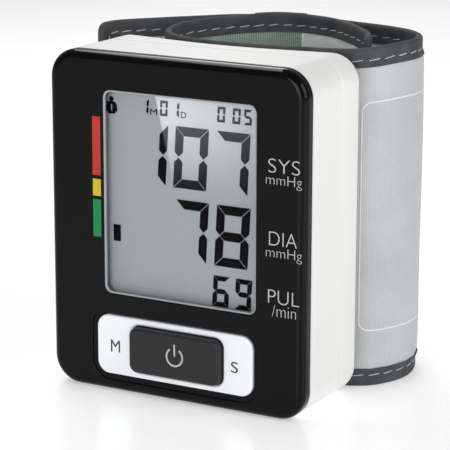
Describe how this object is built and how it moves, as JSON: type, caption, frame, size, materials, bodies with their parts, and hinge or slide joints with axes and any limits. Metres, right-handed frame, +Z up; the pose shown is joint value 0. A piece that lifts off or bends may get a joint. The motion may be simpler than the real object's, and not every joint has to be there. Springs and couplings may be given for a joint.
{
  "type": "wrist_blood_pressure_monitor",
  "caption": "Upright wrist blood pressure monitor: flat case with display window, rocking key plate, power key and battery door, with a soft wrist cuff wound behind it.",
  "frame": {"origin": "middle of the flat lower face of the middle case, which the monitor stands on", "axes": "+X to the right along the face, +Y from the face towards the cuff, +Z up"},
  "size_m": [0.084, 0.0701, 0.087],
  "materials": {
    "black_gloss": "glossy black moulded plastic",
    "white_plastic": "fine satin white moulded plastic",
    "clear_plastic": "clear acrylic window plate",
    "lcd_glass": "grey reflective display glass with dark segments",
    "silver_plastic": "silver white painted plastic",
    "dark_plastic": "dark grey satin plastic",
    "inner_plastic": "natural moulded plastic",
    "black_rubber": "black elastomer and foam",
    "board": "green solder mask on glass fibre board",
    "steel": "bright nickel plated steel",
    "cell_jacket": "printed metal cell jacket, plain",
    "hose_rubber": "translucent silicone tube",
    "grey_cloth": "smooth coated grey nylon",
    "pale_cloth": "smooth light grey nylon",
    "ribbed_cloth": "green grey ribbed knit",
    "binding_tape": "dark woven edge tape with light stitches",
    "bladder_film": "thin welded film",
    "spring_sheet": "springy plastic sheet",
    "hook_cloth": "hook tape"
  },
  "bodies": {
    "case": {"front_bezel": "black_gloss", "mid_case": "white_plastic", "back_cover": "white_plastic", "display_lens": "clear_plastic", "lcd_panel": "lcd_glass", "lcd_frame": "inner_plastic", "zebra_strip": "black_rubber", "main_pcb": "board", "memory_switch": "steel", "power_switch": "steel", "set_switch": "steel", "controller_chip": "dark_plastic", "buzzer": "dark_plastic", "pressure_sensor": "inner_plastic", "case_screw_1": "steel", "case_screw_2": "steel", "case_screw_3": "steel", "case_screw_4": "steel", "battery_tray": "inner_plastic", "battery_1": "cell_jacket", "battery_2": "cell_jacket", "spring_contact": "steel", "plate_contact": "steel", "bridge_contact": "steel", "pump_motor": "steel", "pump_head": "inner_plastic", "valve_body": "inner_plastic", "air_manifold": "inner_plastic", "hose_pump": "hose_rubber", "hose_valve": "hose_rubber", "hose_sensor": "hose_rubber", "hose_cuff": "hose_rubber", "cuff_port": "inner_plastic", "cuff_rivet_1": "steel", "cuff_rivet_2": "steel", "cuff_rivet_3": "steel", "cuff_rivet_4": "steel", "outer_fabric": "grey_cloth", "stiffener": "spring_sheet", "bladder": "bladder_film", "end_lining": "pale_cloth", "wrist_lining": "ribbed_cloth", "binding_top": "binding_tape", "binding_bottom": "binding_tape", "inner_end_binding": "binding_tape"},
    "cuff_tail": {"tail_fabric": "grey_cloth", "tail_core": "black_rubber", "tail_lining": "pale_cloth", "tail_binding_top": "binding_tape", "tail_binding_bottom": "binding_tape", "tail_end_binding": "binding_tape", "hook_patch": "hook_cloth"},
    "power_key": {"power_key": "dark_plastic"},
    "key_plate": {"key_plate": "silver_plastic"},
    "battery_door": {"battery_door": "white_plastic"},
    "pump_rotor": {"pump_rotor": "steel"},
    "valve_plunger": {"valve_plunger": "steel"}
  },
  "joints": [
    {"name": "cuff_tail_swing", "type": "hinge", "parent": "case", "child": "cuff_tail", "pos_m": [0.03771, 0.0461, 0.0428], "axis": [0, 0, -1], "range_deg": [0, 80]},
    {"name": "power_key_press", "type": "slide", "parent": "case", "child": "power_key", "axis": [0, 1, 0], "range_m": [0, 0.0006], "stiffness_N_per_m": 1000},
    {"name": "key_plate_rock", "type": "hinge", "parent": "case", "child": "key_plate", "pos_m": [0, -0.0095, 0.01192], "axis": [0, 0, 1], "range_deg": [-1.5, 1.5], "stiffness_Nm_per_rad": 1},
    {"name": "battery_door_tilt", "type": "hinge", "parent": "case", "child": "battery_door", "pos_m": [-0.035, 0.002, 0.01745], "axis": [0, -1, 0], "range_deg": [0, 35]},
    {"name": "pump_rotor_turn", "type": "hinge", "parent": "case", "child": "pump_rotor", "pos_m": [0.02, 0.0034, 0.021], "axis": [0, 0, 1], "continuous": true},
    {"name": "valve_plunger_lift", "type": "slide", "parent": "case", "child": "valve_plunger", "axis": [0, 0, -1], "range_m": [0, 0.001], "stiffness_N_per_m": 200}
  ]
}
